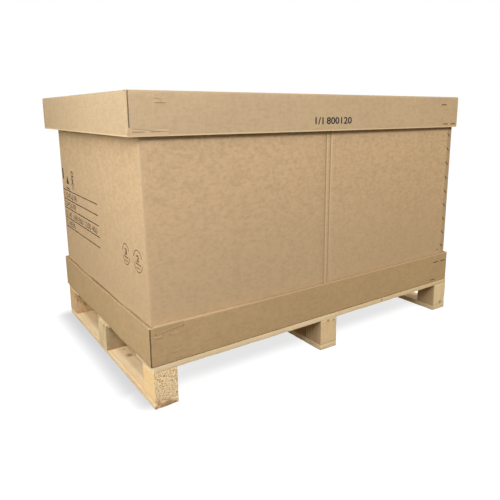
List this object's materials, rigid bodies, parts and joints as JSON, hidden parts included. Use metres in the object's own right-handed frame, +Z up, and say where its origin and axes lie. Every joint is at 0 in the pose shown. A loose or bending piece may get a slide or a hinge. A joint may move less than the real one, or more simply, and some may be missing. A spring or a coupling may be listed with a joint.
{
  "type": "bulk pallet box",
  "caption": "Bulk box of corrugated board: a folded base tray, a tall sleeve and a lift-off lid on a wooden pallet, held with wire stitches.",
  "frame": {"origin": "on the ground under the middle of the pallet, in the underside of its middle bottom board", "axes": "+X along the long side, +Y towards the back long side, +Z up"},
  "size_m": [1.231, 0.8332, 0.799],
  "materials": {
    "pine": "rough sawn, pale, with knots and growth rings",
    "kraft_board": "brown kraft liner, matt",
    "sleeve_board": "brown kraft liner, matt and slightly mottled",
    "stitch_wire": "dull flat wire",
    "ink": "dark blue-black print ink, soaked into the board"
  },
  "bodies": {
    "pallet_and_sleeve": {"bottom_board_left": "pine", "bottom_board_middle": "pine", "bottom_board_right": "pine", "block_left_front": "pine", "block_left_middle": "pine", "block_left_back": "pine", "block_middle_front": "pine", "block_middle_middle": "pine", "block_middle_back": "pine", "block_right_front": "pine", "block_right_middle": "pine", "block_right_back": "pine", "top_board_front": "pine", "top_board_middle": "pine", "top_board_back": "pine", "base_tray": "kraft_board", "tray_stitch_front_left_1": "stitch_wire", "tray_stitch_front_left_2": "stitch_wire", "tray_stitch_front_left_3": "stitch_wire", "tray_stitch_front_right_1": "stitch_wire", "tray_stitch_front_right_2": "stitch_wire", "tray_stitch_front_right_3": "stitch_wire", "tray_stitch_back_left_1": "stitch_wire", "tray_stitch_back_left_2": "stitch_wire", "tray_stitch_back_left_3": "stitch_wire", "tray_stitch_back_right_1": "stitch_wire", "tray_stitch_back_right_2": "stitch_wire", "tray_stitch_back_right_3": "stitch_wire", "sleeve": "sleeve_board", "sleeve_stitch_1": "stitch_wire", "sleeve_stitch_2": "stitch_wire", "sleeve_stitch_3": "stitch_wire", "sleeve_stitch_4": "stitch_wire", "sleeve_stitch_5": "stitch_wire", "sleeve_stitch_6": "stitch_wire", "sleeve_stitch_7": "stitch_wire", "sleeve_stitch_8": "stitch_wire", "sleeve_stitch_9": "stitch_wire", "sleeve_stitch_10": "stitch_wire", "sleeve_stitch_11": "stitch_wire", "sleeve_stitch_12": "stitch_wire"},
    "lid": {"lid": "kraft_board", "lid_stitch_front_left_1": "stitch_wire", "lid_stitch_front_left_2": "stitch_wire", "lid_stitch_front_left_3": "stitch_wire", "lid_stitch_front_right_1": "stitch_wire", "lid_stitch_front_right_2": "stitch_wire", "lid_stitch_front_right_3": "stitch_wire", "lid_stitch_back_left_1": "stitch_wire", "lid_stitch_back_left_2": "stitch_wire", "lid_stitch_back_left_3": "stitch_wire", "lid_stitch_back_right_1": "stitch_wire", "lid_stitch_back_right_2": "stitch_wire", "lid_stitch_back_right_3": "stitch_wire"}
  },
  "joints": [
    {"name": "lid_lift", "type": "slide", "parent": "pallet_and_sleeve", "child": "lid", "axis": [0, 0, 1], "range_m": [0, 0.14]}
  ]
}
